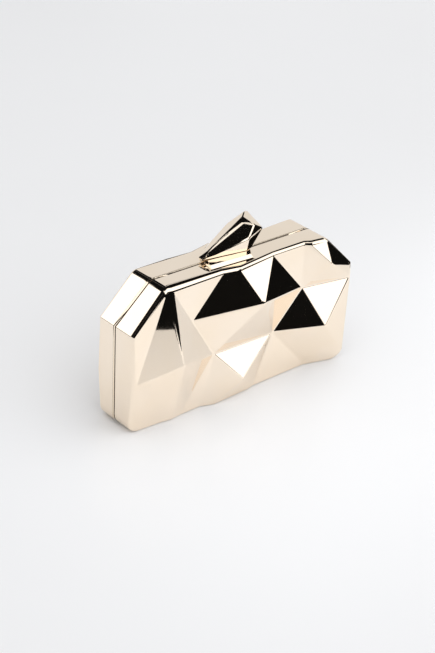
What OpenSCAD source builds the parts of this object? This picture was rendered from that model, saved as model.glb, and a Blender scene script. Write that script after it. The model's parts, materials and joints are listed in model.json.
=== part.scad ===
// Faceted metal minaudiere: two cast shells that open on a hinge along the bottom seam,
// held shut by a sprung clasp shaped like a shard of crystal on top of the seam.
// Frame: X along the width, -Y to the front, Z up; origin under the seam, on the table.

/* [Case] */
// Width of the closed case, below the cuts at its top corners
case_w = 192; // [150:1:240]
// Height of the case without its clasp
case_h = 98.4; // [84:0.2:130]
// How far each end leans in from its cut down to the table
taper = 3.4; // [0:0.1:6]
// Depth of one shell's side walls, which every point of the relief follows
shell_d = 20; // [17:0.5:30]
// Horizontal leg of the cut at each top corner
cut_w = 26.6; // [12:0.2:40]
// Vertical leg of the cut at each top corner
cut_h = 24.9; // [12:0.1:40]
// Radius of the rounded corners between the top edge and its cuts
cut_r = 6.5; // [1:0.5:8]
// Radius of the two bottom corners
corner_r = 8.5; // [6:0.5:20]
// Radius of the rounded rim between the side walls and the facets, which each place on the rim
// takes its own share of
rim_r = 2.6; // [1.5:0.1:4]
// Wall of the cast shells
wall = 1.2; // [0.8:0.1:2]

/* [Frames and lining] */
// Width of the rail that shows between the shells
rail_w = 2; // [1.4:0.1:4]
// Gap between the front shell and the rail
seam_gap = 0.3; // [0.1:0.05:0.5]
// Distance from the case's outline to the inner face of the frames
frame_t = 4; // [3.4:0.1:6]
// Depth of the flange that lines each shell's mouth
flange_d = 5.5; // [4.8:0.1:9]
// Thickness of the tongue on the back frame
tongue_t = 0.8; // [0.6:0.1:1.2]
// How far the tongue reaches into the front shell
tongue_reach = 1.5; // [1:0.1:1.7]
// Height at which the tongue starts, above the hinge
tongue_z = 14; // [10:0.5:30]
// Thickness of the padded suede lining with its board
lining_t = 1.5; // [1:0.1:2.5]
// Play around what is fitted into a shell
fit_gap = 0.15; // [0.05:0.05:0.3]

/* [Hinge] */
// Length of the hinge
hinge_l = 110; // [60:1:150]
// Number of knuckles, the odd ones on the back leaf
knuckle_count = 5; // [3:2:9]
// Outer radius of the knuckles
knuckle_r = 1.6; // [1.3:0.1:2.2]
// Radius of the hinge pin
hinge_pin_r = 0.8; // [0.6:0.05:1.2]
// Running gap around pins
pin_gap = 0.05; // [0.02:0.01:0.1]
// Thickness of the leaves
leaf_t = 0.8; // [0.6:0.1:1.2]
// Angle at which the bevelled edges of the shells stop the front shell
open_angle = 105; // [80:1:130]

/* [Clasp] */
// Height of the shard's peak above the case
shard_h = 23.6; // [18:0.1:34]
// Length of the shard from its low tip to its high one
shard_l = 50; // [40:0.5:60]
// Depth of the shard, from its front ridge to its foot at the back
shard_d = 17.5; // [16:0.5:20]
// Height of the striker's ridge above the case
striker_h = 2.4; // [2:0.1:2.6]
// Depth of the striker on the front shell
striker_d = 11.3; // [10:0.1:12]
// Height of the clasp's pivot above the case
pivot_h = 3; // [2.8:0.1:3.4]
// Distance of the pivot behind the middle of the seam
pivot_y = 6.5; // [6:0.1:7]
// Radius of the clasp pin
clasp_pin_r = 0.8; // [0.6:0.05:1]
// Distance between the outer faces of the bracket's ears
bracket_w = 18; // [16:0.2:18.6]
// Thickness of the bracket's ears
ear_t = 1.5; // [1:0.1:2]
// Thickness of the lever's plate
lever_t = 1.5; // [1.2:0.1:2]
// Wire radius of the torsion spring
spring_wire_r = 0.3; // [0.2:0.05:0.35]
// Turns of the torsion spring
spring_turns = 4; // [3:1:5]

/* [Strap lugs and screws] */
// Length of the slot in the rail where a strap's end passes
slot_l = 13; // [8:0.5:16]
// Width of that slot behind the rail's front face
slot_w = 0.7; // [0.5:0.1:1.6]
// Distance of each slot's middle from the end of the top edge
slot_inset = 11.9; // [8.5:0.1:20]
// Radius of the hole in a strap lug
lug_bore_r = 1.5; // [1:0.1:2]
// Thickness of a strap lug's eye
lug_t = 1.6; // [1.2:0.1:2.4]
// Shank radius of all screws
screw_r = 0.75; // [0.6:0.05:0.9]
// Head radius of all screws
screw_head_r = 1.35; // [1.1:0.05:1.5]
// Head height of all screws
screw_head_h = 0.6; // [0.5:0.05:0.8]

/* [Hidden] */

gold = [0.93, 0.85, 0.74];
pale_gold = [0.96, 0.90, 0.80];
steel = [0.72, 0.72, 0.74];
suede = [0.16, 0.13, 0.12];

// Overrun of every cut past the face that it opens
over = 1;
// Sides of exact round parts
round_fn = 48;
// Gap between pieces that pass each other
play = 0.3;

// Planes of the seam, measured along Y
back_rim_y = rail_w / 2;
rail_front_y = -rail_w / 2 + seam_gap / 2;
front_rim_y = -rail_w / 2 - seam_gap / 2;

// Hinge axis, in the middle of the opening gap and just clear of the table
hinge_y = -rail_w / 2;
hinge_clear = 0.3;
hinge_z = knuckle_r + hinge_clear;
// The bevels leave this much of the angle free at the end of the swing
bevel_spare = 4;
bevel_angle = (open_angle + bevel_spare) / 2;
// Room around the knuckles
knuckle_room = 0.35;
hinge_end_gap = 0.3;

half_w = case_w / 2;
cut_angle = atan2(cut_h, cut_w);
slot_x = half_w - cut_w - slot_inset;

// Half the top edge and the top of the side edge, for an outline drawn in by i
function top_end(i) = half_w - cut_w - i * tan(cut_angle / 2);
function side_top(i) = case_h - cut_h - i * tan((90 - cut_angle) / 2);

// Half the width at the height z
function side_x(z) = half_w - taper * (1 - min(z / (case_h - cut_h), 1));
arc_x = side_x(corner_r) - corner_r;

// Point on the rounded corner between the top edge and the right cut, drawn in by i
least_r = 0.2;
function cut_arc(share, i) =
    let (r = max(cut_r - i, least_r), turn = share * cut_angle)
    [top_end(i) - r * (tan(cut_angle / 2) - sin(turn)), case_h - i - r * (1 - cos(turn))];

// Point [x, z] on the outline drawn in by i: the kind of edge it lies on (the last is
// "left arc"), and the share along it
function spot(kind, share, i) =
    kind == "top" ? [share * top_end(i), case_h - i] :
    kind == "right top" ? cut_arc(share, i) :
    kind == "left top" ? let (s = cut_arc(share, i)) [-s[0], s[1]] :
    kind == "right" ? [side_x(share * case_h) - i, share * case_h] :
    kind == "bottom" ? [share * half_w, i] :
    kind == "left" ? [i - side_x(share * case_h), share * case_h] :
    kind == "right cut" ? [side_x(side_top(i)) - i, side_top(i)] :
    kind == "left cut" ? [i - side_x(side_top(i)), side_top(i)] :
    kind == "right arc" ? [arc_x + (corner_r - i) * cos(90 * share),
                           corner_r - (corner_r - i) * sin(90 * share)] :
    [-arc_x - (corner_r - i) * cos(90 * share),
     corner_r - (corner_r - i) * sin(90 * share)];

// Peaks and valleys of the relief: shares of half the width, the height and shell_d
peak_shares = [
    [-0.471, 0.698, 0.80],    // left ridge
    [0.0465, 0.742, 1.525],   // middle peak
    [0.575, 0.641, 0.725],    // right valley
    [0.731, 0.828, 1.275],    // right shoulder
    [0.728, 0.349, 1.36],     // right hip
    [0.298, 0.379, 0.81],     // middle valley
    [-0.266, 0.396, 0.875],   // left valley
    [-0.6146, 0.4593, 1.35],  // left hip
    [-0.0366, 0.164, 1.275]]; // foot peak

// Plane through three places, as [x factor, z factor, constant] for the depth in shares
function plane(a, b, c) =
    let (det = (b[0] - a[0]) * (c[1] - a[1]) - (c[0] - a[0]) * (b[1] - a[1]),
         fx = ((b[2] - a[2]) * (c[1] - a[1]) - (c[2] - a[2]) * (b[1] - a[1])) / det,
         fz = ((b[0] - a[0]) * (c[2] - a[2]) - (c[0] - a[0]) * (b[2] - a[2])) / det)
    [fx, fz, a[2] - fx * a[0] - fz * a[1]];
function placed(p) = concat(spot(p[0], p[1], rim_r * p[3]), p[2]);
function on_plane(plane, kind, share) =
    let (s = spot(kind, share, rim_r * arc_rim)) plane[0] * s[0] + plane[1] * s[1] + plane[2];

// Rounded corner at the top, from the [depth share, rim share] of its first and last point
cut_steps = 4;
function top_corner(kind, ends) = [for (k = [0:cut_steps])
    let (a = k / cut_steps, p = ends[0] * (1 - a) + ends[1] * a)
    [kind, kind == "left top" ? 1 - a : a, p[0], p[1]]];

// Whole rim of a relief from its parts. Each arc at the bottom lies in the plane of the facet
// beside it, which right_low and left_low fix by the depth share where the arc begins.
arc_steps = 6;
arc_rim = 0.8;
rim_steps = 6;
function whole_rim(left_top, top, right_top, right, right_low, foot, left_low, left) =
    let (valley = peak_shares[5],
         right_plane = plane([valley[0] * half_w, valley[1] * case_h, valley[2]],
             placed(foot[0]), placed(["right arc", 0, right_low, arc_rim])),
         left_plane = plane(placed(left[0]), placed(foot[len(foot) - 1]),
             placed(["left arc", 0, left_low, arc_rim])))
    concat(top_corner("left top", left_top), top, top_corner("right top", right_top), right,
        [for (k = [0:arc_steps]) ["right arc", k / arc_steps,
            on_plane(right_plane, "right arc", k / arc_steps), arc_rim]],
        foot,
        [for (k = [arc_steps:-1:0]) ["left arc", k / arc_steps,
            on_plane(left_plane, "left arc", k / arc_steps), arc_rim]],
        left);

// Rims, clockwise from the left cut as one looks at the relief: kind, share along it, depth
// share, share of rim_r
front_rim = whole_rim([[0.80, 1.00], [0.765, 1.40]], [
    ["top", -0.92, 0.77, 1.60], ["top", -0.316, 0.80, 1.20], ["top", -0.12, 0.95, 1.05],
    ["top", 0.34, 0.76, 1.00], ["top", 0.76, 0.76, 0.95], ["top", 0.826, 0.89, 1.05]],
    [[0.945, 1.05], [0.975, 1.00]], [["right cut", 0, 1.03, 0.90], ["right", 0.648, 1.10, 0.85]],
    1.28, [
    ["bottom", 0.657, 0.84, 0.80], ["bottom", 0.149, 0.88, 0.80], ["bottom", 0.091, 0.95, 0.80],
    ["bottom", -0.238, 1.02, 0.80], ["bottom", -0.340, 0.85, 0.80],
    ["bottom", -0.525, 0.87, 0.80], ["bottom", -0.608, 0.92, 0.80],
    ["bottom", -0.707, 0.85, 0.80]],
    0.83, [["left", 0.386, 0.975, 0.80], ["left cut", 0, 0.895, 0.85]]);
back_rim = whole_rim([[0.94, 1.00], [0.90, 1.00]], [
    ["top", -0.92, 0.90, 1.00], ["top", -0.50, 0.83, 1.00], ["top", 0.06, 1.04, 1.00],
    ["top", 0.316, 0.855, 1.00], ["top", 0.60, 0.91, 1.00], ["top", 0.80, 0.90, 1.00]],
    [[0.90, 1.00], [0.87, 0.90]], [["right cut", 0, 0.78, 0.80], ["right", 0.35, 0.85, 0.80]],
    0.745, [
    ["bottom", 0.657, 0.74, 0.80], ["bottom", 0.149, 0.845, 0.80],
    ["bottom", 0.091, 0.90, 0.80], ["bottom", -0.238, 0.96, 0.80],
    ["bottom", -0.340, 0.785, 0.80], ["bottom", -0.525, 0.80, 0.80],
    ["bottom", -0.608, 0.845, 0.80], ["bottom", -0.707, 0.795, 0.80]],
    0.755, [["left", 0.386, 1.04, 0.80], ["left cut", 0, 0.98, 0.80]]);

// Numbers of the rim's places and of the peaks, in the order of the lists above
rim_n = len(front_rim);
left_top = 0;
t1 = left_top + cut_steps + 1;
t2 = t1 + 1;
t3 = t1 + 2;
t4 = t1 + 3;
t5 = t1 + 4;
t6 = t1 + 5;
right_top = t1 + 6;
r1 = right_top + cut_steps + 1;
r2 = r1 + 1;
arc_r = r1 + 2;
b1 = arc_r + arc_steps + 1;
b2 = b1 + 1;
b3 = b1 + 2;
b4 = b1 + 3;
b5 = b1 + 4;
b6 = b1 + 5;
b7 = b1 + 6;
b8 = b1 + 7;
arc_l = b8 + 1;
l1 = arc_l + arc_steps + 1;
l2 = l1 + 1;
left_ridge = rim_n;
mid_peak = rim_n + 1;
right_valley = rim_n + 2;
right_shoulder = rim_n + 3;
right_hip = rim_n + 4;
mid_valley = rim_n + 5;
left_valley = rim_n + 6;
left_hip = rim_n + 7;
foot_peak = rim_n + 8;

// Facets, each clockwise as one looks at the relief
facets = concat([
    [t1, t2, left_ridge], [left_ridge, t2, mid_peak], [t2, t3, mid_peak], [t3, t4, mid_peak],
    [t4, right_valley, mid_peak], [t4, t5, right_valley], [t5, right_shoulder, right_valley],
    [t5, t6, right_shoulder], [t6, right_top, right_shoulder], [r1 - 1, r1, right_shoulder],
    [right_shoulder, r1, r2], [right_shoulder, r2, right_valley],
    [right_valley, r2, right_hip], [right_valley, right_hip, mid_valley],
    [mid_peak, right_valley, mid_valley], [mid_peak, mid_valley, left_valley],
    [left_ridge, mid_peak, left_valley], [t1, left_ridge, left_hip],
    [left_ridge, left_valley, left_hip], [t1 - 1, t1, left_hip], [left_top, left_hip, l1],
    [left_top, l1, l2], [l1, left_hip, b7], [l1, b7, b8], [left_hip, left_valley, b6],
    [left_hip, b6, b7], [left_valley, b5, b6], [left_valley, foot_peak, b5],
    [foot_peak, b4, b5], [foot_peak, b3, b4], [foot_peak, b2, b3],
    [mid_valley, foot_peak, left_valley], [mid_valley, b2, foot_peak], [mid_valley, b1, b2],
    [mid_valley, right_hip, arc_r], [right_hip, r2, arc_r]],
    [for (k = [left_top:t1 - 2]) [k, k + 1, left_hip]],
    [for (k = [right_top:r1 - 2]) [k, k + 1, right_shoulder]],
    [for (k = [arc_r:b1 - 1]) [mid_valley, k, k + 1]],
    [for (k = [b8:l1 - 2]) [l1, k, k + 1]]);

// Solid between the plane y = -near and the relief inside the rim, with its outline and its
// facets drawn in by i
module relief(rim, i, near) {
    last = rim_steps + 1;
    rim_points = [for (row = [0:last]) for (p = rim)
        let (r = max(rim_r * p[3] - i, least_r), a = 90 * max(row - 1, 0) / rim_steps,
             s = spot(p[0], p[1], i + r * (1 - cos(a))))
        [s[0], row == 0 ? -near : r * (1 - sin(a)) + i - p[2] * shell_d, s[1]]];
    peak_points = [for (p = peak_shares)
        [p[0] * half_w, i - p[2] * shell_d, p[1] * case_h]];
    ring_faces = [for (j = [0:last - 1]) for (k = [0:rim_n - 1])
        let (a = j * rim_n + k, b = j * rim_n + (k + 1) % rim_n)
        each [[a, b, b + rim_n], [a, b + rim_n, a + rim_n]]];
    polyhedron(concat(rim_points, peak_points),
        concat([[for (k = [rim_n - 1:-1:0]) k]], ring_faces,
            [for (f = facets) [for (v = f) v + last * rim_n]]));
}

// Outline of the case drawn in by i, as a flat shape with X across and Z up
module outline(i) {
    polygon(concat(
        [for (k = [cut_steps:-1:0]) spot("left top", k / cut_steps, i)],
        [for (k = [0:cut_steps]) spot("right top", k / cut_steps, i)],
        [spot("right cut", 0, i)],
        [for (k = [0:arc_steps]) spot("right arc", k / arc_steps, i)],
        [for (k = [arc_steps:-1:0]) spot("left arc", k / arc_steps, i)],
        [spot("left cut", 0, i)]));
}

// Ring between two drawn-in outlines, from y0 to y1
module ring(outer_i, inner_i, y0, y1) {
    translate([0, y1, 0])
        rotate([90, 0, 0])
            linear_extrude(y1 - y0)
                difference() {
                    outline(outer_i);
                    outline(inner_i);
                }
}

// Box given by its lowest and highest corners
module block(low, high) {
    translate(low)
        cube(high - low);
}

// Round bar along X from x0 to x1
module bar_x(r, x0, x1, y, z) {
    translate([x0, y, z])
        rotate([0, 90, 0])
            cylinder(r = r, h = x1 - x0, $fn = round_fn);
}

// Upright round bar from z0 to z1
module post(r, x, y, z0, z1) {
    translate([x, y, z0])
        cylinder(r = r, h = z1 - z0, $fn = round_fn);
}

// Screw with its shank up and its head below z
module screw_up(x, y, z, shank) {
    post(screw_r, x, y, z, z + shank);
    post(screw_head_r, x, y, z - screw_head_h, z);
}

// Screw with its shank down and its head above z
module screw_down(x, y, z, shank) {
    post(screw_r, x, y, z - shank, z);
    post(screw_head_r, x, y, z, z + screw_head_h);
}

// Groove along the bottom seam, whose two bevels meet when the case is fully open
module seam_bevel() {
    drop = hinge_z + over;
    spread = drop * tan(bevel_angle);
    translate([half_w + over, hinge_y, hinge_z])
        rotate([90, 0, -90])
            linear_extrude(case_w + 2 * over)
                polygon([[0, 0], [spread, -drop], [-spread, -drop]]);
}

// Room for the hinge's knuckles in the shells, and for the webs of its leaves in the frames
hinge_room = knuckle_r + knuckle_room;
hinge_reach = hinge_l / 2 + hinge_end_gap;
module hinge_groove() {
    bar_x(hinge_room, -hinge_reach, hinge_reach, hinge_y, hinge_z);
}
module hinge_pocket() {
    block([-hinge_reach, hinge_y - hinge_room, -over],
        [hinge_reach, hinge_y + hinge_room, frame_t + over]);
}

// Screws: holes with play, and the depth that a screw bites into a frame's flange
screw_hole_r = screw_r + pin_gap;
screw_skin = 0.4;
flange_t = frame_t - wall - fit_gap;
frame_bite = flange_t - screw_skin;
hole_spare = 0.1;

// Hinge screws: shares of the hinge's length, and their rows on the two flanges
hinge_screw_shares = [-0.4, -0.15, 0.15, 0.4];
hinge_screw_back_y = back_rim_y + flange_d / 2;
hinge_screw_front_y = front_rim_y - flange_d / 2;
module each_hinge_screw(y) {
    for (share = hinge_screw_shares)
        translate([share * hinge_l, y, 0])
            children();
}

// Clasp: its pivot, ears, lever and the places of its screws
pivot_z = case_h + pivot_h;
base_t = 0.8;
ear_r = 1.9;
knuckle_l = 3;
lever_knuckle_r = ear_r - 2 * pin_gap;
ear_in = bracket_w / 2 - ear_t;
lever_half = ear_in - play;
lever_z = pivot_z - play;
lever_top = lever_z + lever_t;
bracket_front = back_rim_y + base_t;
clasp_screw_x = 5;
bracket_screws = [for (x = [-clasp_screw_x, clasp_screw_x]) [x, back_rim_y + flange_d / 2]];
shard_screws = [for (x = [-clasp_screw_x, clasp_screw_x]) [x, back_rim_y]];
shard_bite = 3;

// Tooth and pocket of the striker, and the hook of the lever that drops behind the tooth
tooth_back = front_rim_y - seam_gap;
tooth_t = 0.85;
hook_back = tooth_back - tooth_t - play;
hook_t = 2;
hook_front = hook_back - hook_t;
hook_x = 1.5;
hook_w = 9;
hook_x0 = hook_x - hook_w / 2;
hook_x1 = hook_x + hook_w / 2;
pocket_floor = 0.3;
hook_clear = 0.4;
hook_z = case_h + pocket_floor + hook_clear;
hook_ramp = 1.2;
lever_inset = 0.8;

// Screws of the striker: shares of the shard's length and of the striker's depth
striker_screw_shares = [[-0.26, 0.243], [0.184, 0.243]];
striker_screws = [for (p = striker_screw_shares)
    [p[0] * shard_l, tooth_back - p[1] * striker_d]];
striker_bite = 1.5;

// Strap lugs
lug_plate_t = 1.2;
lug_ring = 1.5;
lug_eye_r = lug_bore_r + lug_ring;
lug_half = 7;
lug_screw_x = 5.2;
lug_y = back_rim_y + flange_d / 2;
lug_z = case_h - frame_t - lug_plate_t;
lug_eye_z = lug_z - lug_eye_r;
lug_edge = 0.5;

// Cast back shell: a relief turned half round, with holes for the clasp's bracket
module back_shell() {
    color(pale_gold)
        difference() {
            rotate([0, 0, 180])
                relief(back_rim, 0, back_rim_y);
            rotate([0, 0, 180])
                relief(back_rim, wall, -over);
            seam_bevel();
            hinge_groove();
            for (p = bracket_screws)
                post(screw_hole_r, p[0], p[1], case_h - wall - over, case_h + over);
        }
}

// Frame soldered into the back shell: the rail at the seam, the flange and the tongue
module back_frame() {
    tongue_out = frame_t + play + fit_gap / 2;
    color(gold)
        difference() {
            union() {
                ring(0, frame_t, rail_front_y, back_rim_y);
                ring(wall + fit_gap, frame_t, back_rim_y, back_rim_y + flange_d);
                difference() {
                    union() {
                        ring(tongue_out, tongue_out + tongue_t, rail_front_y - tongue_reach,
                            back_rim_y);
                        ring(frame_t - fit_gap, tongue_out + tongue_t, rail_front_y, back_rim_y);
                    }
                    block([-case_w, -case_w, -over], [case_w, case_w, tongue_z]);
                }
            }
            seam_bevel();
            hinge_pocket();
            for (side = [-1, 1])
                block([side * slot_x - slot_l / 2, -shell_d, case_h - 2 * frame_t],
                    [side * slot_x + slot_l / 2, rail_front_y + slot_w, case_h + over]);
            for (p = bracket_screws)
                post(screw_hole_r, p[0], p[1],
                    case_h - wall - fit_gap - frame_bite - hole_spare, case_h + over);
            each_hinge_screw(hinge_screw_back_y)
                post(screw_hole_r, 0, 0, frame_t - frame_bite - hole_spare, frame_t + over);
            for (side = [-1, 1], end = [-1, 1])
                post(screw_hole_r, side * slot_x + end * lug_screw_x, lug_y,
                    case_h - frame_t - over, case_h - frame_t + frame_bite + hole_spare);
        }
}

// Padded lining behind a flange: a tray that follows the relief
lining_i = wall + 2 * fit_gap;
module lining(rim, near) {
    color(suede)
        difference() {
            relief(rim, lining_i, near);
            relief(rim, lining_i + lining_t, near - over);
        }
}

module back_lining() {
    rotate([0, 0, 180])
        lining(back_rim, back_rim_y + flange_d + play);
}

// Cast front shell with the relief of the photograph's side, and holes for the striker's screws
module front_shell() {
    color(pale_gold)
        difference() {
            relief(front_rim, 0, -front_rim_y);
            relief(front_rim, wall, -over);
            seam_bevel();
            hinge_groove();
            for (p = striker_screws)
                post(screw_hole_r, p[0], p[1], case_h - wall - over, case_h + over);
        }
}

// Frame soldered into the front shell, level with its rim
module front_frame() {
    color(gold)
        difference() {
            ring(wall + fit_gap, frame_t, front_rim_y - flange_d, front_rim_y);
            seam_bevel();
            hinge_pocket();
            each_hinge_screw(hinge_screw_front_y)
                post(screw_hole_r, 0, 0, frame_t - frame_bite - hole_spare, frame_t + over);
            for (p = striker_screws)
                post(screw_hole_r, p[0], p[1], case_h - 2 * frame_t, case_h);
        }
}

module front_lining() {
    lining(front_rim, flange_d + play - front_rim_y);
}

// Hinge leaf: knuckles round the pin, webs up past the frame and a plate on its flange
knuckle_step = hinge_l / knuckle_count;
knuckle_gap = 0.2;
web_in = 0.6;
plate_end = 0.5;
module leaf(side, first, rim_y, screw_y) {
    web_y = [hinge_y + side * web_in, hinge_y + side * (web_in + leaf_t)];
    end_y = rim_y + side * (flange_d - plate_end);
    color(gold)
        difference() {
            union() {
                for (k = [first:2:knuckle_count - 1]) {
                    x0 = k * knuckle_step - hinge_l / 2 + knuckle_gap / 2;
                    x1 = x0 + knuckle_step - knuckle_gap;
                    bar_x(knuckle_r, x0, x1, hinge_y, hinge_z);
                    block([x0, min(web_y), hinge_z], [x1, max(web_y), frame_t + leaf_t]);
                }
                block([-hinge_l / 2, min(web_y), hinge_z + hinge_room],
                    [hinge_l / 2, max(web_y), frame_t + leaf_t]);
                block([-hinge_l / 2, min(web_y[0], end_y), frame_t],
                    [hinge_l / 2, max(web_y[0], end_y), frame_t + leaf_t]);
            }
            bar_x(hinge_pin_r + pin_gap, -hinge_l, hinge_l, hinge_y, hinge_z);
            each_hinge_screw(screw_y)
                post(screw_hole_r, 0, 0, 0, 2 * frame_t);
        }
}

module hinge_leaf_back() {
    leaf(1, 0, back_rim_y, hinge_screw_back_y);
}

module hinge_leaf_front() {
    leaf(-1, 1, front_rim_y, hinge_screw_front_y);
}

module hinge_pin() {
    color(steel)
        bar_x(hinge_pin_r, -hinge_l / 2, hinge_l / 2, hinge_y, hinge_z);
}

module hinge_screws(y) {
    color(gold)
        each_hinge_screw(y)
            screw_down(0, 0, frame_t + leaf_t, leaf_t + frame_bite);
}

module hinge_screws_back() {
    hinge_screws(hinge_screw_back_y);
}

module hinge_screws_front() {
    hinge_screws(hinge_screw_front_y);
}

// Bracket on the back shell's top, with an ear at each end of the clasp's pin
module clasp_bracket() {
    color(gold)
        difference() {
            union() {
                block([-bracket_w / 2, bracket_front, case_h],
                    [bracket_w / 2, pivot_y + ear_r, case_h + base_t]);
                for (side = [-1, 1]) {
                    x0 = min(side * ear_in, side * bracket_w / 2);
                    bar_x(ear_r, x0, x0 + ear_t, pivot_y, pivot_z);
                    block([x0, pivot_y - ear_r, case_h], [x0 + ear_t, pivot_y + ear_r, pivot_z]);
                }
            }
            bar_x(clasp_pin_r + pin_gap, -bracket_w, bracket_w, pivot_y, pivot_z);
            for (p = bracket_screws)
                post(screw_hole_r, p[0], p[1], case_h - over, case_h + base_t + over);
        }
}

module clasp_bracket_screws() {
    color(gold)
        for (p = bracket_screws)
            screw_down(p[0], p[1], case_h + base_t, base_t + wall + fit_gap + frame_bite);
}

module clasp_pin() {
    color(steel)
        bar_x(clasp_pin_r, -bracket_w / 2, bracket_w / 2, pivot_y, pivot_z);
}

// Torsion spring round the pin: one leg on the bracket, the other on the lever's plate
spring_r = clasp_pin_r + 2 * pin_gap + 2 * spring_wire_r;
spring_pitch = 3 * spring_wire_r;
turn_count = 16;
wire_count = 8;
spring_half = spring_turns * spring_pitch / 2;
leg_l = 3;
function coil_ring(a, back) = [for (k = [0:wire_count - 1])
    let (b = 360 * k / wire_count, r = spring_r + spring_wire_r * cos(b))
    [a / 360 * spring_pitch - spring_half + spring_wire_r * sin(b),
     pivot_y - r * sin(a) - back, pivot_z + r * cos(a)]];
module clasp_spring() {
    count = spring_turns * turn_count;
    half = turn_count / 2;
    rings = concat(coil_ring(180, leg_l),
        [for (j = [half:count]) each coil_ring(360 * j / turn_count, 0)],
        coil_ring(360 * spring_turns, leg_l));
    last = count - half + 2;
    ends = [[for (k = [wire_count - 1:-1:0]) k],
        [for (k = [0:wire_count - 1]) last * wire_count + k]];
    sides = [for (j = [0:last - 1]) for (k = [0:wire_count - 1])
        let (a = j * wire_count + k, b = j * wire_count + (k + 1) % wire_count)
        each [[a, b + wire_count, a + wire_count], [a, b, b + wire_count]]];
    color(steel)
        polyhedron(rings, concat(ends, sides));
}

// Sprung lever: knuckles on the pin, a plate under the shard and the hook at its front
module clasp_lever() {
    plate_front = hook_back + lever_inset;
    color(gold)
        difference() {
            union() {
                block([-lever_half, plate_front, lever_z], [lever_half, pivot_y, lever_top]);
                block([hook_x0, hook_front, lever_z], [hook_x1, pivot_y - ear_r, lever_top]);
                for (x = [-lever_half, lever_half - knuckle_l])
                    bar_x(lever_knuckle_r, x, x + knuckle_l, pivot_y, pivot_z);
                translate([hook_x1, 0, 0])
                    rotate([90, 0, -90])
                        linear_extrude(hook_x1 - hook_x0)
                            polygon([[-hook_back, hook_z], [-hook_back, lever_top],
                                [-hook_front, lever_top], [-hook_front, hook_z + hook_ramp]]);
            }
            bar_x(clasp_pin_r + pin_gap, -bracket_w, bracket_w, pivot_y, pivot_z);
            block([knuckle_l - lever_half, pivot_y - ear_r - play, case_h],
                [lever_half - knuckle_l, pivot_y + 2 * ear_r, case_h + shard_h]);
            for (p = shard_screws)
                post(screw_hole_r, p[0], p[1], case_h, lever_top + over);
        }
}

// Upper shard of crystal: corners as shares of its length, its depth behind the seam, and its
// height from the level just over the striker
shard_shares = [
    [-0.549, 0.011, -0.087], [-0.533, -0.114, -0.011],              // low tip, at the bottom
    [-0.555, 0.091, 0.025], [-0.490, 0.206, 0.086],                 // low tip, at the back
    [-0.457, -0.126, 0.121], [-0.453, -0.034, 0.216],               // low ends of the ridges
    [0.152, -0.400, 0.408], [0.285, -0.227, 0.747],                 // front ridge
    [-0.204, 0.028, 0.505], [0.147, -0.034, 0.831], [0.182, 0.158, 0.943], // middle ridge
    [0.293, 0.400, 1], [0.356, 0.378, 0.938],                       // peak
    [0.437, -0.004, 0.631], [0.467, -0.166, 0.506],                 // high tip
    [0.080, 0.571, 0.679], [-0.270, 0.617, 0.043],                  // ridge at the back
    [0.117, -0.400, -0.020], [0.208, -0.343, -0.044], [0.270, 0.114, -0.034], // foot at the right
    [-0.250, 0.600, -0.034], [0.280, 0.600, -0.034]];               // foot at the back
shard_room = 0.35;
// Room behind the ears, which the shard's foot swings through as it lifts
lift_room = 0.8;
module clasp_shard() {
    low = case_h + striker_h + play;
    points = [for (p = shard_shares)
        [p[0] * shard_l, p[1] * shard_d, low + p[2] * (case_h + shard_h - low)]];
    room_r = ear_r + shard_room;
    color(pale_gold)
        difference() {
            hull()
                polyhedron(points, [[for (k = [0:len(points) - 1]) k]]);
            bar_x(room_r, -bracket_w / 2 - shard_room, bracket_w / 2 + shard_room,
                pivot_y, pivot_z);
            block([-bracket_w / 2 - shard_room, pivot_y - room_r, case_h],
                [bracket_w / 2 + shard_room, pivot_y + ear_r + lift_room, pivot_z]);
            block([-shard_l, -shard_d, case_h], [shard_l, tooth_back + play, low]);
            block([-lever_half - shard_room, hook_back, case_h],
                [lever_half + shard_room, pivot_y, lever_top]);
            block([hook_x0 - shard_room, hook_front - shard_room, case_h],
                [hook_x1 + shard_room, pivot_y, lever_top]);
            block([-spring_half - base_t, pivot_y - leg_l - base_t, lever_top - over],
                [spring_half + base_t, pivot_y, pivot_z + room_r]);
            for (p = shard_screws)
                post(screw_hole_r, p[0], p[1], case_h, lever_top + shard_bite + hole_spare);
        }
}

module clasp_shard_screws() {
    color(gold)
        for (p = shard_screws)
            screw_up(p[0], p[1], lever_z, lever_t + shard_bite);
}

// Lower shard on the front shell: corners as shares of the shard's length, of the striker's
// depth in front of its tooth and of its height
striker_shares = [
    [-0.48, 0.093, 0.92], [-0.108, 0.403, 1], [0.19, 0.491, 1],
    [-0.44, 0, 0.75], [0.23, 0, 0.83], [-0.51, 0, 0], [0.28, 0, 0],
    [-0.54, 0.68, 0.88], [0.128, 0.85, 0.90], [-0.55, 0.828, 0], [0.14, 1, 0]];
module clasp_striker() {
    points = [for (p = striker_shares)
        [p[0] * shard_l, tooth_back - p[1] * striker_d, case_h + p[2] * striker_h]];
    color(pale_gold)
        difference() {
            hull()
                polyhedron(points, [[for (k = [0:len(points) - 1]) k]]);
            block([hook_x0 - shard_room, hook_front - 2 * shard_room, case_h + pocket_floor],
                [hook_x1 + shard_room, hook_back + play, case_h + shard_h]);
            for (p = striker_screws)
                post(screw_hole_r, p[0], p[1], case_h - over, case_h + striker_bite + hole_spare);
        }
}

module clasp_striker_screws() {
    color(gold)
        for (p = striker_screws)
            screw_up(p[0], p[1], case_h - frame_t, frame_t + striker_bite);
}

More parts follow.
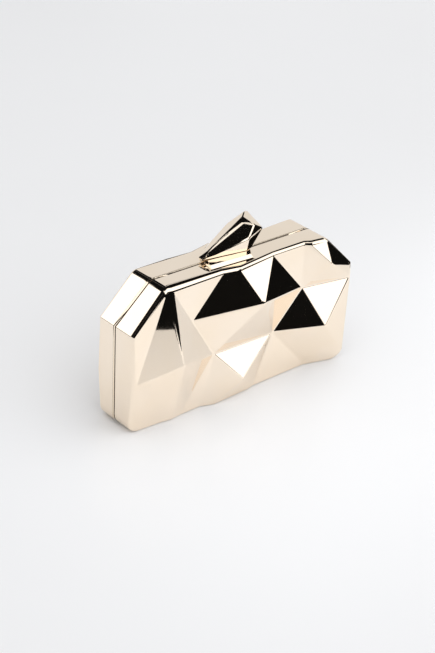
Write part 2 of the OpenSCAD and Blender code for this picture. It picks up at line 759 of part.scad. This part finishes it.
// Lug under a strap slot: a plate on the back frame's flange with an eye below it
module strap_lug(side) {
    x = side * slot_x;
    color(gold)
        difference() {
            union() {
                block([x - lug_half, back_rim_y + lug_edge, lug_z],
                    [x + lug_half, back_rim_y + flange_d - lug_edge, lug_z + lug_plate_t]);
                translate([x, lug_y + lug_t / 2, lug_eye_z])
                    rotate([90, 0, 0])
                        cylinder(r = lug_eye_r, h = lug_t, $fn = round_fn);
                block([x - lug_eye_r, lug_y - lug_t / 2, lug_eye_z],
                    [x + lug_eye_r, lug_y + lug_t / 2, lug_z]);
            }
            translate([x, lug_y + lug_t, lug_eye_z])
                rotate([90, 0, 0])
                    cylinder(r = lug_bore_r, h = 2 * lug_t, $fn = round_fn);
            for (end = [-1, 1])
                post(screw_hole_r, x + end * lug_screw_x, lug_y, lug_z - over,
                    lug_z + lug_plate_t + over);
        }
}

module strap_lug_left() {
    strap_lug(-1);
}

module strap_lug_right() {
    strap_lug(1);
}

module strap_lug_screws() {
    color(gold)
        for (side = [-1, 1], end = [-1, 1])
            screw_up(side * slot_x + end * lug_screw_x, lug_y, lug_z, lug_plate_t + frame_bite);
}

back_shell();
back_frame();
back_lining();
front_shell();
front_frame();
front_lining();
hinge_leaf_back();
hinge_leaf_front();
hinge_pin();
hinge_screws_back();
hinge_screws_front();
clasp_bracket();
clasp_bracket_screws();
clasp_pin();
clasp_spring();
clasp_lever();
clasp_shard();
clasp_shard_screws();
clasp_striker();
clasp_striker_screws();
strap_lug_left();
strap_lug_right();
strap_lug_screws();
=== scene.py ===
"""Looks of the minaudiere: polished pale gold shells, the clasp, the hinge and a suede inside.

Metres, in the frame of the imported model: X along the width, -Y to the front, Z up.
"""

import json
import math

import bmesh
import bpy
from mathutils import Matrix, Vector, kdtree, noise


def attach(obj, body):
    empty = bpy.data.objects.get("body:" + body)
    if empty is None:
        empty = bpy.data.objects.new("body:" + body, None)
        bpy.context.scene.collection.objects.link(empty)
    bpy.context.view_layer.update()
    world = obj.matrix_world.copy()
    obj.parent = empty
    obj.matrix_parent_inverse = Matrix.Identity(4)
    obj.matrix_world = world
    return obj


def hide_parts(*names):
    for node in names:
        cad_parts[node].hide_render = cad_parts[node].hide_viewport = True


MM = 0.001

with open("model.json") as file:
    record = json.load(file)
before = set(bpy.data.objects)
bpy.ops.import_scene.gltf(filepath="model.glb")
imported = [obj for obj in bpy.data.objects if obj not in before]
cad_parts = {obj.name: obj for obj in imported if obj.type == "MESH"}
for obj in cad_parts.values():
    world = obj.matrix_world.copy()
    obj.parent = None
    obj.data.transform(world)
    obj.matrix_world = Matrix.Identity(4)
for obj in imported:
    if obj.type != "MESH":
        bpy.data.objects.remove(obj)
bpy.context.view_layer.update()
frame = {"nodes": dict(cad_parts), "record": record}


# Camera, fitted to the outline of the case in the photograph
CAMERA_PLACE = Vector((-0.6427, -0.6487, 0.5500))
CAMERA_FORWARD = Vector((0.61186, 0.62430, -0.48567))
CAMERA_RIGHT = Vector((0.74235, -0.66519, 0.08018))
CAMERA_LENS = 86.4
CAMERA_NEAR = 0.01


def make_camera():
    camera = bpy.data.objects.new("camera", bpy.data.cameras.new("camera"))
    bpy.context.scene.collection.objects.link(camera)
    forward = CAMERA_FORWARD.normalized()
    right = (CAMERA_RIGHT - CAMERA_RIGHT.dot(forward) * forward).normalized()
    turn = Matrix((right, right.cross(forward), -forward)).transposed()
    camera.matrix_world = Matrix.Translation(CAMERA_PLACE) @ turn.to_4x4()
    camera.data.lens = CAMERA_LENS
    camera.data.clip_start = CAMERA_NEAR
    bpy.context.scene.camera = camera


make_camera()


# Node trees
class Tree:
    """A node tree that is built by short calls."""

    def __init__(self, tree):
        self.nodes = tree.nodes
        self.links = tree.links

    def add(self, kind, **settings):
        node = self.nodes.new("ShaderNode" + kind)
        for name, value in settings.items():
            setattr(node, name, value)
        return node

    def feed(self, socket, value):
        if isinstance(value, bpy.types.NodeSocket):
            self.links.new(value, socket)
        else:
            socket.default_value = value

    def math(self, operation, *values):
        node = self.add("Math", operation=operation)
        for socket, value in zip(node.inputs, values):
            self.feed(socket, value)
        return node.outputs[0]

    def fade(self, value, low, high, start=0.0, end=1.0):
        """start below low, end above high, and smooth between them."""
        node = self.add("MapRange", interpolation_type="SMOOTHSTEP")
        for name, given in (("Value", value), ("From Min", low), ("From Max", high),
                            ("To Min", start), ("To Max", end)):
            self.feed(node.inputs[name], given)
        return node.outputs[0]

    def mix(self, factor, first, second, blend="MIX"):
        """Mixes two colours, whose sockets are the node's 7th and 8th."""
        node = self.add("Mix", data_type="RGBA", blend_type=blend)
        for socket, given in ((0, factor), (6, first), (7, second)):
            self.feed(node.inputs[socket], given)
        return node.outputs[2]

    def grey(self, level):
        node = self.add("CombineXYZ")
        for socket in node.inputs:
            self.feed(socket, level)
        return node.outputs[0]

    def noise(self, place, scale, detail=2.0, roughness=0.5):
        node = self.add("TexNoise")
        self.feed(node.inputs["Vector"], place)
        node.inputs["Scale"].default_value = scale
        node.inputs["Detail"].default_value = detail
        node.inputs["Roughness"].default_value = roughness
        return node.outputs["Fac"]


def new_material(name):
    """A material with its tree, shader and place coordinates."""
    material = bpy.data.materials.new(name)
    material.use_nodes = True
    tree = Tree(material.node_tree)
    shader = material.node_tree.nodes["Principled BSDF"]
    place = tree.add("TexCoord").outputs["Object"]
    return material, tree, shader, place


def bump(tree, shader, height, strength, distance):
    node = tree.add("Bump")
    node.inputs["Strength"].default_value = strength
    node.inputs["Distance"].default_value = distance
    tree.feed(node.inputs["Height"], height)
    tree.feed(shader.inputs["Normal"], node.outputs[0])


# Materials
MARKS_ROUGHER = 2.5
STEEL_STRETCH = (40.0, 1500.0, 1500.0)


def polished_gold(name, colour, warmer, rough):
    """Mirror-polished plating: a faint drift of tint, hairline polishing marks and soft waves."""
    material, tree, shader, place = new_material(name)
    tint = tree.fade(tree.noise(place, scale=24.0, detail=3.0), low=0.35, high=0.65)
    tree.feed(shader.inputs["Base Color"], tree.mix(tint, (*colour, 1), (*warmer, 1)))
    shader.inputs["Metallic"].default_value = 1.0
    marks = tree.noise(place, scale=900.0, detail=4.0, roughness=0.7)
    tree.feed(shader.inputs["Roughness"],
              tree.fade(marks, low=0.3, high=0.8, start=rough, end=MARKS_ROUGHER * rough))
    waves = tree.noise(place, scale=60.0, detail=1.0)
    bump(tree, shader, waves, strength=0.05, distance=0.1 * MM)
    return material


def steel(name):
    """Drawn steel with fine lines along X."""
    material, tree, shader, place = new_material(name)
    stretch = tree.add("Mapping")
    stretch.inputs["Scale"].default_value = STEEL_STRETCH
    tree.feed(stretch.inputs["Vector"], place)
    lines = tree.noise(stretch.outputs[0], scale=1.0, detail=3.0)
    tree.feed(shader.inputs["Base Color"],
              tree.mix(lines, (0.42, 0.42, 0.43, 1), (0.62, 0.62, 0.63, 1)))
    shader.inputs["Metallic"].default_value = 1.0
    tree.feed(shader.inputs["Roughness"],
              tree.fade(lines, low=0.2, high=0.8, start=0.22, end=0.38))
    bump(tree, shader, lines, strength=0.15, distance=0.02 * MM)
    return material


def suede(name):
    """Dark suede: nap that shades in soft patches, with fine fibres."""
    material, tree, shader, place = new_material(name)
    patches = tree.noise(place, scale=45.0, detail=3.0)
    fibres = tree.noise(place, scale=2600.0, detail=3.0, roughness=0.7)
    nap = tree.mix(tree.fade(patches, low=0.3, high=0.7),
                   (0.030, 0.022, 0.019, 1), (0.062, 0.047, 0.041, 1))
    specks = tree.mix(fibres, (0.55, 0.55, 0.55, 1), (1.25, 1.2, 1.15, 1))
    tree.feed(shader.inputs["Base Color"], tree.mix(1.0, nap, specks, "MULTIPLY"))
    shader.inputs["Roughness"].default_value = 0.95
    shader.inputs["Specular IOR Level"].default_value = 0.15
    shader.inputs["Sheen Weight"].default_value = 0.35
    shader.inputs["Sheen Roughness"].default_value = 0.4
    shader.inputs["Sheen Tint"].default_value = (0.75, 0.66, 0.6, 1)
    bump(tree, shader, fibres, strength=0.5, distance=0.12 * MM)
    return material


def shade_residue_material(name):
    """Dark seam colour: painted shade of the groove between the parts, partly dull brown residue
    of polish that stays in the seams of plated metal.
    """
    material, tree, shader, place = new_material(name)
    shade_and_grime = tree.noise(place, scale=700.0, detail=3.0, roughness=0.6)
    tree.feed(shader.inputs["Base Color"],
              tree.mix(shade_and_grime, (0.030, 0.019, 0.011, 1), (0.085, 0.055, 0.034, 1)))
    shader.inputs["Roughness"].default_value = 0.6
    shader.inputs["Specular IOR Level"].default_value = 0.2
    bump(tree, shader, shade_and_grime, strength=0.3, distance=0.03 * MM)
    return material


SHELL_GOLD = polished_gold("shell_gold", (0.975, 0.855, 0.715), (0.965, 0.835, 0.68), 0.018)
FRAME_GOLD = polished_gold("frame_gold", (0.95, 0.82, 0.66), (0.93, 0.79, 0.61), 0.07)
STEEL = steel("drawn_steel")
SUEDE = suede("suede")
# Seam colour: painted shade of the grooves between the parts, partly polish residue
SEAM_SHADE_RESIDUE = shade_residue_material("seam_shade_residue")


# Meshes. Angles are in degrees; a point this near to a plane lies on it
LEVEL = 0.01 * MM
JOIN_DISTANCE = 0.002 * MM
FLAT_ANGLE = 0.6
SHARP_ANGLE = 0.8
BEVEL_STEPS = 3
MIDDLE = Vector((0, 0, 49 * MM))


def clean_mesh(node):
    """The node's mesh with its doubled points joined and its flat faces made whole."""
    mesh = bmesh.new()
    mesh.from_mesh(frame["nodes"][node].data)
    bmesh.ops.remove_doubles(mesh, verts=mesh.verts, dist=JOIN_DISTANCE)
    bmesh.ops.dissolve_limit(mesh, angle_limit=math.radians(FLAT_ANGLE), verts=mesh.verts,
                             edges=mesh.edges)
    return mesh


def is_sharp(edge, angle=SHARP_ANGLE):
    return len(edge.link_faces) == 2 and edge.calc_face_angle(0.0) > math.radians(angle)


def on_plane(edge, level):
    """Whether the edge lies at this level of Y."""
    return all(abs(vert.co.y - level) < LEVEL for vert in edge.verts)


def narrow(face, width):
    return face.calc_area() < width * max(edge.calc_length() for edge in face.edges)


def faces_out(face):
    """Whether a wall that runs along Y has its face away from the middle of the case."""
    return (face.calc_center_median() - MIDDLE).dot(face.normal) > 0


def bevel(mesh, edges, radius, steps=BEVEL_STEPS, clamp=False):
    if edges:
        bmesh.ops.bevel(mesh, geom=edges, offset=radius, offset_type="OFFSET", segments=steps,
                        profile=0.5, affect="EDGES", clamp_overlap=clamp)


# Pieces
NORMAL_WEIGHT = 90
BEVEL_LAYER = "bevel_weight_edge"
BODY_OF = {node: body for body, members in frame["record"]["behaviour"]["bodies"].items()
           for node in members}


def piece(name, mesh, *materials):
    """Links the mesh as an object with smooth normals."""
    data = bpy.data.meshes.new(name)
    mesh.to_mesh(data)
    mesh.free()
    data.shade_smooth()
    for material in materials:
        data.materials.append(material)
    made = bpy.data.objects.new(name, data)
    bpy.context.scene.collection.objects.link(made)
    return made


def bevel_by_weight(made, width):
    edges = made.modifiers.new("rounded_edges", "BEVEL")
    edges.limit_method = "WEIGHT"
    edges.width = width
    edges.segments = BEVEL_STEPS
    edges.use_clamp_overlap = False


def weigh_normals(made):
    """Flat faces stay flat, and only the roundings between them are smooth."""
    normals = made.modifiers.new("flat_faces", "WEIGHTED_NORMAL")
    normals.weight = NORMAL_WEIGHT
    normals.keep_sharp = False


def dress(node, made):
    """The piece stands for the node, whose part it hides, and rides on its body."""
    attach(made, BODY_OF[node])
    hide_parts(node)


def metal(node, material, radius):
    """A metal piece with every edge rounded as far as its neighbours leave room."""
    mesh = clean_mesh(node)
    bevel(mesh, [edge for edge in mesh.edges if is_sharp(edge)], radius, clamp=True)
    made = piece(node + "_finish", mesh, material)
    weigh_normals(made)
    dress(node, made)


# Planes of the seam along Y: the front shell's rim, and the front and back of the rail
FRONT_RIM = -1.15 * MM
RAIL_FRONT = -0.85 * MM
BACK_RIM = 1.0 * MM
# Rounding of the rims at the seam, and how far over it the dark seam colour reaches: painted
# shade of the groove, partly polish residue
FRONT_SEAM = 0.32 * MM
BACK_SEAM = 0.08 * MM
SEAM_SHADE_REACH = 1.05
# Shells: rounding between facets, and its share beside the narrow faces of the rolled rim,
# which have no rounding between them unless they meet at more than an angle
FACET_EDGE = 0.8 * MM
ROLL_SHARE = 0.35
ROLL_WIDTH = 2.6 * MM
ROLL_ANGLE = 18
# A wall along Y leans less than this; shorter edges belong to holes
WALL_LEAN = 0.02
HOLE_EDGE = 0.15 * MM
# The edges beside the hinge stay sharp: reach along Y from the seam, and height
HINGE_REACH = 7.0 * MM
HINGE_HEIGHT = 4.5 * MM


def paint_seam_shade(mesh, level, seam_edge):
    """Puts the second material, the painted seam shade and polish residue, on the rounded edges
    at this level of Y.
    """
    for face in mesh.faces:
        spread = max(abs(vert.co.y - level) for vert in face.verts)
        if LEVEL < spread < SEAM_SHADE_REACH * seam_edge:
            face.material_index = 1


def shell(node, seam_y, side, seam_edge):
    """A shell with its rim rounded and darkened at the seam with painted shade and polish
    residue, and its outer edges rounded.
    """
    mesh = clean_mesh(node)

    def outer(face):
        lean = side * face.normal.y
        at_rim = abs(face.calc_center_median().y - seam_y) < LEVEL
        return lean > WALL_LEAN or at_rim or (lean > -WALL_LEAN and faces_out(face))

    def at_hinge(edge):
        place = (edge.verts[0].co + edge.verts[1].co) / 2
        return abs(place.y - seam_y) < HINGE_REACH and place.z < HINGE_HEIGHT

    def shown(edge):
        return (is_sharp(edge) and edge.calc_length() > HOLE_EDGE and not at_hinge(edge)
                and all(outer(face) for face in edge.link_faces))

    weight = mesh.edges.layers.float.new(BEVEL_LAYER)
    for edge in mesh.edges:
        if shown(edge) and not on_plane(edge, seam_y):
            rolled = sum(narrow(face, ROLL_WIDTH) for face in edge.link_faces)
            if rolled < 2 or is_sharp(edge, ROLL_ANGLE):
                edge[weight] = ROLL_SHARE if rolled else 1.0
    bevel(mesh, [edge for edge in mesh.edges if shown(edge) and on_plane(edge, seam_y)],
          seam_edge)
    # The seam's rounded faces get the painted seam shade and polish residue
    paint_seam_shade(mesh, seam_y, seam_edge)
    made = piece(node + "_finish", mesh, SHELL_GOLD, SEAM_SHADE_RESIDUE)
    bevel_by_weight(made, FACET_EDGE)
    weigh_normals(made)
    dress(node, made)


# Shard of the clasp: its long upper ridges are rounded, and its other edges by a share of that
RIDGE_EDGE = 0.9 * MM
RIDGE_LENGTH = 4 * MM
RIDGE_ANGLE = 5
# Heights that the lower and the upper end of a ridge exceed, and the lean of an underside
RIDGE_LOW = 101 * MM
RIDGE_HIGH = 104 * MM
UNDERSIDE = -0.2
FOOT_SHARE = 0.12


def shard(node):
    mesh = clean_mesh(node)

    def ridge(edge):
        low, high = sorted(vert.co.z for vert in edge.verts)
        return (edge.calc_length() > RIDGE_LENGTH and low > RIDGE_LOW and high > RIDGE_HIGH
                and all(face.normal.z > UNDERSIDE for face in edge.link_faces))

    weight = mesh.edges.layers.float.new(BEVEL_LAYER)
    for edge in mesh.edges:
        if is_sharp(edge, RIDGE_ANGLE) and edge.calc_length() > HOLE_EDGE:
            edge[weight] = 1.0 if ridge(edge) else FOOT_SHARE
    made = piece(node + "_finish", mesh, SHELL_GOLD)
    bevel_by_weight(made, RIDGE_EDGE)
    weigh_normals(made)
    dress(node, made)


# Rail of the back frame: its outer edges turn by more than an angle, between walls along Y
RAIL_ANGLE = 60
RAIL_LEAN = 0.1


def rail(node):
    """The back frame, whose rail shows between the shells: its outer edges are rounded."""
    mesh = clean_mesh(node)
    bmesh.ops.triangulate(mesh, faces=mesh.faces)

    def outer_edge(edge, level):
        return (is_sharp(edge, RAIL_ANGLE) and edge.calc_length() >= HOLE_EDGE
                and edge.is_convex and on_plane(edge, level)
                and any(abs(face.normal.y) < RAIL_LEAN and faces_out(face)
                        for face in edge.link_faces))

    # At both seam planes the rounded edges get the painted seam shade and polish residue
    for level, seam_edge in ((RAIL_FRONT, FRONT_SEAM), (BACK_RIM, BACK_SEAM)):
        bevel(mesh, [edge for edge in mesh.edges if outer_edge(edge, level)], seam_edge)
        paint_seam_shade(mesh, level, seam_edge)
    made = piece(node + "_finish", mesh, FRAME_GOLD, SEAM_SHADE_RESIDUE)
    weigh_normals(made)
    dress(node, made)


STRIKER_EDGE = 0.12 * MM
FRAME_EDGE = 0.08 * MM
STEEL_EDGE = 0.05 * MM

shell("front_shell", FRONT_RIM, -1, FRONT_SEAM)
shell("back_shell", BACK_RIM, 1, BACK_SEAM)
shard("clasp_shard")
metal("clasp_striker", SHELL_GOLD, STRIKER_EDGE)
rail("back_frame")
for small in ("front_frame", "hinge_leaf_back", "hinge_leaf_front",
              "clasp_bracket", "clasp_lever", "strap_lug_left", "strap_lug_right"):
    metal(small, FRAME_GOLD, FRAME_EDGE)


# Screws: a turned shank and a domed head with a pressed cross
SCREW_STEPS = 40
SCREW_RINGS = 14
SCREW_SHARP = 50
SHANK_RADIUS = 0.75 * MM
SHANK_CHAMFER = 0.2 * MM
HEAD_RADIUS = 1.35 * MM
HEAD_HEIGHT = 0.6 * MM
# An end of the solid that is wider than this radius is its head
HEAD_LEAST = 1.1 * MM
# Drop of the dome, once with the square and once with the 8th power of the distance
DOME_DROP = 0.35
# Arms of the cross: half width, reach and depth, and the shares of them that slope
CROSS_WIDTH = 0.17 * MM
CROSS_REACH = 0.80 * MM
CROSS_DEPTH = 0.34 * MM
CROSS_SLOPES = (0.45, 0.3)


def head_height(x, y):
    """Height of the head's top at a place: a low dome with a cross pressed into it."""
    distance = math.hypot(x, y) / HEAD_RADIUS
    dome = HEAD_HEIGHT * (1 - DOME_DROP * distance ** 2 - DOME_DROP * distance ** 8)
    across, along = sorted((abs(x), abs(y)))
    groove = min(1, max(0, (CROSS_WIDTH - across) / (CROSS_SLOPES[0] * CROSS_WIDTH)))
    groove *= min(1, max(0, (CROSS_REACH - along) / (CROSS_SLOPES[1] * CROSS_REACH)))
    return dome - CROSS_DEPTH * groove


def circle(radius):
    turns = [2 * math.pi * j / SCREW_STEPS for j in range(SCREW_STEPS)]
    return [(radius * math.cos(turn), radius * math.sin(turn)) for turn in turns]


def screw(mesh, x, y, low, high, up):
    """One screw between two heights, with its head at the top where up is true."""
    base, tip, sign = (high - HEAD_HEIGHT, low, 1) if up else (low + HEAD_HEIGHT, high, -1)
    rows = [[mesh.verts.new((x + u, y + v, base + sign * head_height(u, v)))
             for u, v in circle(HEAD_RADIUS * k / SCREW_RINGS)]
            for k in range(1, SCREW_RINGS + 1)]
    centre = mesh.verts.new((x, y, base + sign * head_height(0, 0)))
    for radius, z in ((HEAD_RADIUS, base), (SHANK_RADIUS, base),
                      (SHANK_RADIUS, tip + sign * SHANK_CHAMFER),
                      (SHANK_RADIUS - SHANK_CHAMFER, tip)):
        rows.append([mesh.verts.new((x + u, y + v, z)) for u, v in circle(radius)])
    for row, after in zip(rows, rows[1:]):
        for j in range(SCREW_STEPS):
            k = (j + 1) % SCREW_STEPS
            mesh.faces.new((row[j], row[k], after[k], after[j]))
    for j in range(SCREW_STEPS):
        mesh.faces.new((centre, rows[0][(j + 1) % SCREW_STEPS], rows[0][j]))
    mesh.faces.new(rows[-1])


def islands(mesh):
    """Lists of the mesh's points, one for each separate solid."""
    left = set(mesh.verts)
    for start in mesh.verts:
        if start in left:
            left.remove(start)
            found, waiting = [], [start]
            while waiting:
                vert = waiting.pop()
                found.append(vert)
                for link in vert.link_edges:
                    other = link.other_vert(vert)
                    if other in left:
                        left.remove(other)
                        waiting.append(other)
            yield found


def screws(node):
    """Turned screws in the place of the node's plain ones."""
    mesh = bmesh.new()
    solids = clean_mesh(node)
    for solid in islands(solids):
        places = [vert.co for vert in solid]
        x, y = ((min(place[k] for place in places) + max(place[k] for place in places)) / 2
                for k in (0, 1))
        low, high = (pick(place.z for place in places) for pick in (min, max))
        top = max(abs(place.x - x) for place in places if place.z > high - LEVEL)
        screw(mesh, x, y, low, high, top > HEAD_LEAST)
    solids.free()
    bmesh.ops.recalc_face_normals(mesh, faces=mesh.faces)
    made = piece(node + "_finish", mesh, FRAME_GOLD)
    made.data.set_sharp_from_angle(angle=math.radians(SCREW_SHARP))
    dress(node, made)


for small in ("hinge_screws_back", "hinge_screws_front", "clasp_bracket_screws",
              "clasp_shard_screws", "clasp_striker_screws", "strap_lug_screws"):
    screws(small)
for small in ("hinge_pin", "clasp_pin", "clasp_spring"):
    metal(small, STEEL, STEEL_EDGE)


# Linings: every panel of the tray is padded, and its suede is drawn down at the seams.
# Height of the padding, and how far from a seam and how steeply it rises to that
PAD_HEIGHT = 0.95 * MM
PAD_REACH = 4.0 * MM
PAD_RISE = 1.3
# Longest edge in a divided panel, and the most rounds of division
PAD_STEP = 3.2 * MM
PAD_ROUNDS = 7
# Puckers beside the seams: their height and how many there are in a metre
PUCKER = 0.16 * MM
PUCKER_SCALE = 260.0
# Panels meet at seams of more than an angle, which are sampled at a step
SEAM_ANGLE = 9
SEAM_SAMPLE = 0.4 * MM
# Rounded lip at the mouth of the tray, and the depth behind it where the panels start
LIP_EDGE = 0.5 * MM
LIP_ANGLE = 40
LIP_STEPS = 4
LIP_DEPTH = 0.1 * MM


def seam_tree(mesh, pads):
    """Points along the edges where the panels meet or end, to be searched by place."""
    chosen = set(pads)
    places = []
    for edge in mesh.edges:
        inside = [face in chosen for face in edge.link_faces]
        if any(inside) and (not all(inside) or is_sharp(edge, SEAM_ANGLE)):
            start, end = (vert.co for vert in edge.verts)
            count = int((end - start).length / SEAM_SAMPLE) + 1
            places += [start.lerp(end, k / count) for k in range(count + 1)]
    tree = kdtree.KDTree(len(places))
    for k, place in enumerate(places):
        tree.insert(place, k)
    tree.balance()
    return tree


def divide(mesh, padded):
    """Divides the panels until none of their edges is longer than a step."""

    def long_edges():
        return [edge for edge in mesh.edges if edge.calc_length() > PAD_STEP
                and any(face[padded] for face in edge.link_faces)]

    for _ in range(PAD_ROUNDS):
        if not long_edges():
            break
        bmesh.ops.triangulate(mesh, faces=[face for face in mesh.faces if face[padded]])
        bmesh.ops.subdivide_edges(mesh, edges=long_edges(), cuts=1, use_grid_fill=True)


def pad(mesh, padded, seams):
    """Raises the divided panels between their seams."""
    mesh.normal_update()
    raised = {}
    for face in mesh.faces:
        if face[padded]:
            for vert in face.verts:
                raised.setdefault(vert, Vector())
                raised[vert] += face.normal * face.calc_area()
    for vert, normal in raised.items():
        away = seams.find(vert.co)[2]
        height = PAD_HEIGHT * (1 - math.exp(-(away / PAD_REACH) ** PAD_RISE))
        folds = noise.noise(vert.co * PUCKER_SCALE) * math.exp(-away / PAD_REACH)
        height += PUCKER * folds * min(1.0, away / MM)
        vert.co += normal.normalized() * height


def lining(node, side):
    """The tray with a rounded lip and padded panels."""
    mesh = clean_mesh(node)
    padded = mesh.faces.layers.int.new("padded")
    mouth = min(side * vert.co.y for vert in mesh.verts)

    def inner(face):
        lean = side * face.normal.y
        return (lean < -WALL_LEAN or (lean < WALL_LEAN and not faces_out(face))) and (
            side * face.calc_center_median().y > mouth + LIP_DEPTH)

    bevel(mesh, [edge for edge in mesh.edges if is_sharp(edge, LIP_ANGLE)
                 and all(side * vert.co.y < mouth + LEVEL for vert in edge.verts)],
          LIP_EDGE, LIP_STEPS, clamp=True)
    pads = [face for face in mesh.faces if inner(face)]
    seams = seam_tree(mesh, pads)
    for face in pads:
        face[padded] = 1
    divide(mesh, padded)
    pad(mesh, padded, seams)
    made = piece(node + "_suede", mesh, SUEDE)
    dress(node, made)


lining("back_lining", 1)
lining("front_lining", -1)


# Studio: a pale table, and soft light with dark gaps that the polished faces mirror
TABLE = [(-1.05, -0.6376), (0.178, -0.2692), (1.30, 0.8134), (1.00, 1.25), (-0.20, 1.35),
         (-1.10, 0.70)]
PALE = (0.86, 0.868, 0.895)

# Zones of the studio's walls, each laid over those before it: azimuth from and to and
# elevation from and to, in degrees, and level
DARK = 0.005
WHITE = 1.45
ZONES = [
    (-180, 180, -90, 90, 0.80),
    (-180, 180, 44, 90, DARK),
    (-142, -3, -90, 2, DARK),
    (-3, 38, -90, -3, DARK),
    (-142, -71.5, -2, 44, DARK),
    (-26, -3, -2, 33, DARK),
    (-71.5, -26, -1, 44, WHITE),
    (43, 115, 32.5, 44, DARK),
    (100, 160, -20, 6, DARK),
    (112, 152, 8, 42.5, WHITE),
    (-62, -37, 44, 54, 0.9),
    (-95, -60, 46, 76, 1.1),
    (51, 60, 5, 16, DARK),
]
ZONE_EDGE = 0.8
ZENITH = 90
# Light on what isn't a mirror: a level from all round, and one that grows towards a direction
FILL_FROM = Vector((0.05, -0.78, 0.62))
FILL_LEVELS = (0.56, 0.84)
# Soft lamps over the table, which the mirrors don't show: place and power
LAMP_SIZE = 0.25
LAMPS = [(Vector((0.00, -0.09, 0.20)), 0.10), (Vector((0.34, -0.10, 0.14)), 0.07)]


def zones_level(tree, direction):
    """Level of the studio's walls in a direction."""
    parts = tree.add("SeparateXYZ")
    tree.feed(parts.inputs[0], direction)
    x, y, z = parts.outputs
    azimuth = tree.math("DEGREES", tree.math("ARCTAN2", y, x))
    elevation = tree.math("DEGREES", tree.math("ARCSINE", z))

    def from_edge(angle, edge):
        return tree.fade(angle, edge - ZONE_EDGE, edge + ZONE_EDGE)

    def to_edge(angle, edge):
        return tree.fade(angle, edge - ZONE_EDGE, edge + ZONE_EDGE, start=1.0, end=0.0)

    level = ZONES[0][-1]
    for left, right, low, high, value in ZONES[1:]:
        inside = tree.math("MULTIPLY", from_edge(azimuth, left), to_edge(azimuth, right))
        inside = tree.math("MULTIPLY", inside, from_edge(elevation, low))
        if high < ZENITH:
            inside = tree.math("MULTIPLY", inside, to_edge(elevation, high))
        step = tree.math("MULTIPLY", inside, tree.math("SUBTRACT", value, level))
        level = tree.math("ADD", level, step)
    return level


def fill_level(tree, direction):
    """Level of the light on what isn't a mirror."""
    toward = tree.add("VectorMath", operation="DOT_PRODUCT")
    tree.feed(toward.inputs[0], direction)
    toward.inputs[1].default_value = FILL_FROM.normalized()
    lit = tree.math("MAXIMUM", toward.outputs["Value"], 0.0)
    return tree.math("MULTIPLY_ADD", lit, FILL_LEVELS[1], FILL_LEVELS[0])


def make_studio():
    world = bpy.data.worlds.new("studio")
    bpy.context.scene.world = world
    world.use_nodes = True
    tree = Tree(world.node_tree)
    direction = tree.add("TexCoord").outputs["Generated"]
    walls = tree.grey(zones_level(tree, direction))
    fill = tree.grey(fill_level(tree, direction))
    paths = tree.add("LightPath")
    light = tree.mix(paths.outputs["Is Glossy Ray"], fill, walls)
    tree.feed(world.node_tree.nodes["Background"].inputs["Color"],
              tree.mix(paths.outputs["Is Camera Ray"], light, (*PALE, 1)))


def make_lamp(place, power):
    lamp = bpy.data.lights.new("soft_lamp", "AREA")
    lamp.size = LAMP_SIZE
    lamp.energy = power
    made = bpy.data.objects.new("soft_lamp", lamp)
    made.location = place
    made.visible_glossy = False
    made.visible_camera = False
    bpy.context.scene.collection.objects.link(made)


def make_floor():
    mesh = bmesh.new()
    mesh.faces.new([mesh.verts.new((x, y, 0)) for x, y in TABLE])
    material, tree, shader, place = new_material("floor")
    mottle = tree.noise(place, scale=6.0, detail=2.0)
    tree.feed(shader.inputs["Base Color"],
              tree.mix(mottle, (0.895, 0.90, 0.915, 1), (0.91, 0.915, 0.93, 1)))
    shader.inputs["Roughness"].default_value = 0.3
    shader.inputs["Specular IOR Level"].default_value = 0.3
    floor = piece("floor", mesh, material)


make_studio()
for lamp_place, lamp_power in LAMPS:
    make_lamp(lamp_place, lamp_power)
make_floor()

view = bpy.context.scene.view_settings
view.view_transform = "Standard"
